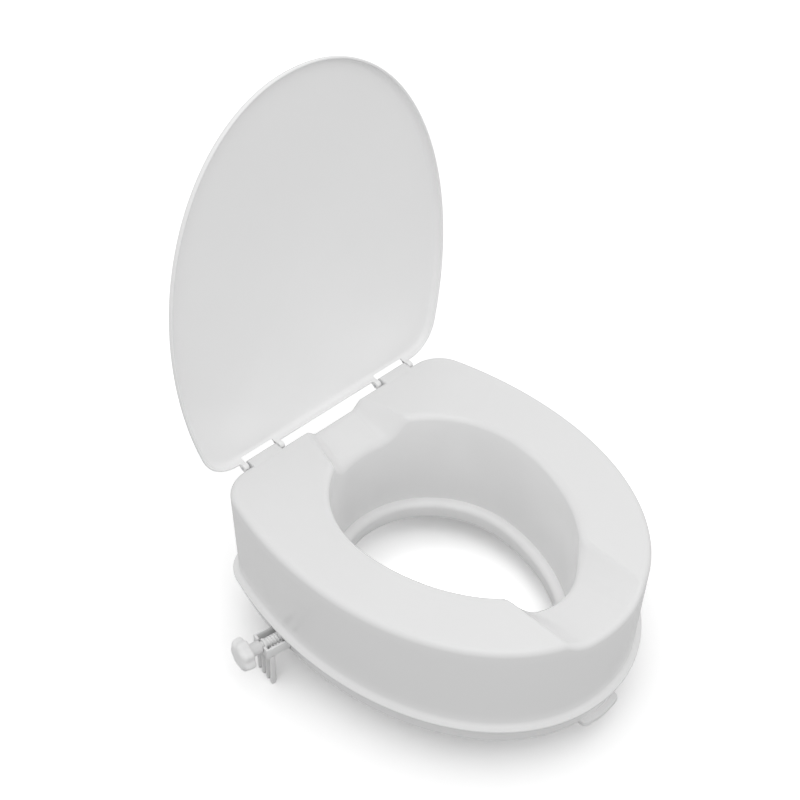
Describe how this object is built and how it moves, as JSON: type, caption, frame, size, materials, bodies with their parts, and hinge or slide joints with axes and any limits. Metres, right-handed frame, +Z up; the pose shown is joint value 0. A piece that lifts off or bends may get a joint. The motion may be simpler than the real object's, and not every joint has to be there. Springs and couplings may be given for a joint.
{
  "type": "raised toilet seat",
  "caption": "Raised toilet seat: a tall hollow seat moulding with a hinged lid, on a base tray whose side clamps grip the rim of a toilet bowl.",
  "frame": {"origin": "middle of the whole object's width and depth with its lid open, at the level of the clamps' lowest points; the bowl's rim plane is 36 mm above it", "axes": "+Z up, -Y towards the seat's front, +Y towards the lid's hinge, +X towards the right of someone facing the seat from in front"},
  "size_m": [0.4664, 0.4524, 0.5885],
  "materials": {
    "seat_plastic": "glossy moulded white",
    "base_plastic": "glossy moulded white",
    "clamp_plastic": "glossy moulded white",
    "pad_rubber": "matte",
    "steel": "plain bright"
  },
  "bodies": {
    "seat": {"seat_shell": "seat_plastic", "base_tray": "base_plastic", "hinge_pin_left": "steel", "hinge_pin_right": "steel", "clamp_nut_left": "clamp_plastic", "clamp_nut_right": "clamp_plastic", "bowl_pad_front_left": "pad_rubber", "bowl_pad_front_right": "pad_rubber", "bowl_pad_rear_left": "pad_rubber", "bowl_pad_rear_right": "pad_rubber", "base_screw_1": "steel", "base_screw_2": "steel", "base_screw_3": "steel", "base_screw_4": "steel", "base_screw_5": "steel", "base_screw_6": "steel", "base_screw_7": "steel", "base_screw_8": "steel"},
    "lid": {"lid": "seat_plastic"},
    "bracket_left": {"clamp_bracket_left": "clamp_plastic"},
    "bracket_right": {"clamp_bracket_right": "clamp_plastic"},
    "screw_left": {"thumbscrew_left": "clamp_plastic", "retaining_ring_left": "clamp_plastic"},
    "screw_right": {"thumbscrew_right": "clamp_plastic", "retaining_ring_right": "clamp_plastic"}
  },
  "joints": [
    {"name": "lid_hinge", "type": "hinge", "parent": "seat", "child": "lid", "pos_m": [0, 0.1826, 0.1755], "axis": [1, 0, 0], "range_deg": [0, 94.2]},
    {"name": "clamp_slide_left", "type": "slide", "parent": "seat", "child": "bracket_left", "axis": [0.9863, -0.165, 0], "range_m": [-0.012, 0.012]},
    {"name": "clamp_slide_right", "type": "slide", "parent": "seat", "child": "bracket_right", "axis": [-0.9863, -0.165, 0], "range_m": [-0.012, 0.012]},
    {"name": "screw_turn_left", "type": "hinge", "parent": "bracket_left", "child": "screw_left", "pos_m": [-0.2024, 0.0702, 0.051], "axis": [0.9863, -0.165, 0], "range_deg": [-1240, 1240]},
    {"name": "screw_turn_right", "type": "hinge", "parent": "bracket_right", "child": "screw_right", "pos_m": [0.2024, 0.0702, 0.051], "axis": [-0.9863, -0.165, 0], "range_deg": [-1240, 1240]}
  ],
  "couplings": [
    {"joint": "screw_turn_left", "follows": "clamp_slide_left", "rad_per_m": 1795.2},
    {"joint": "screw_turn_right", "follows": "clamp_slide_right", "rad_per_m": 1795.2}
  ]
}
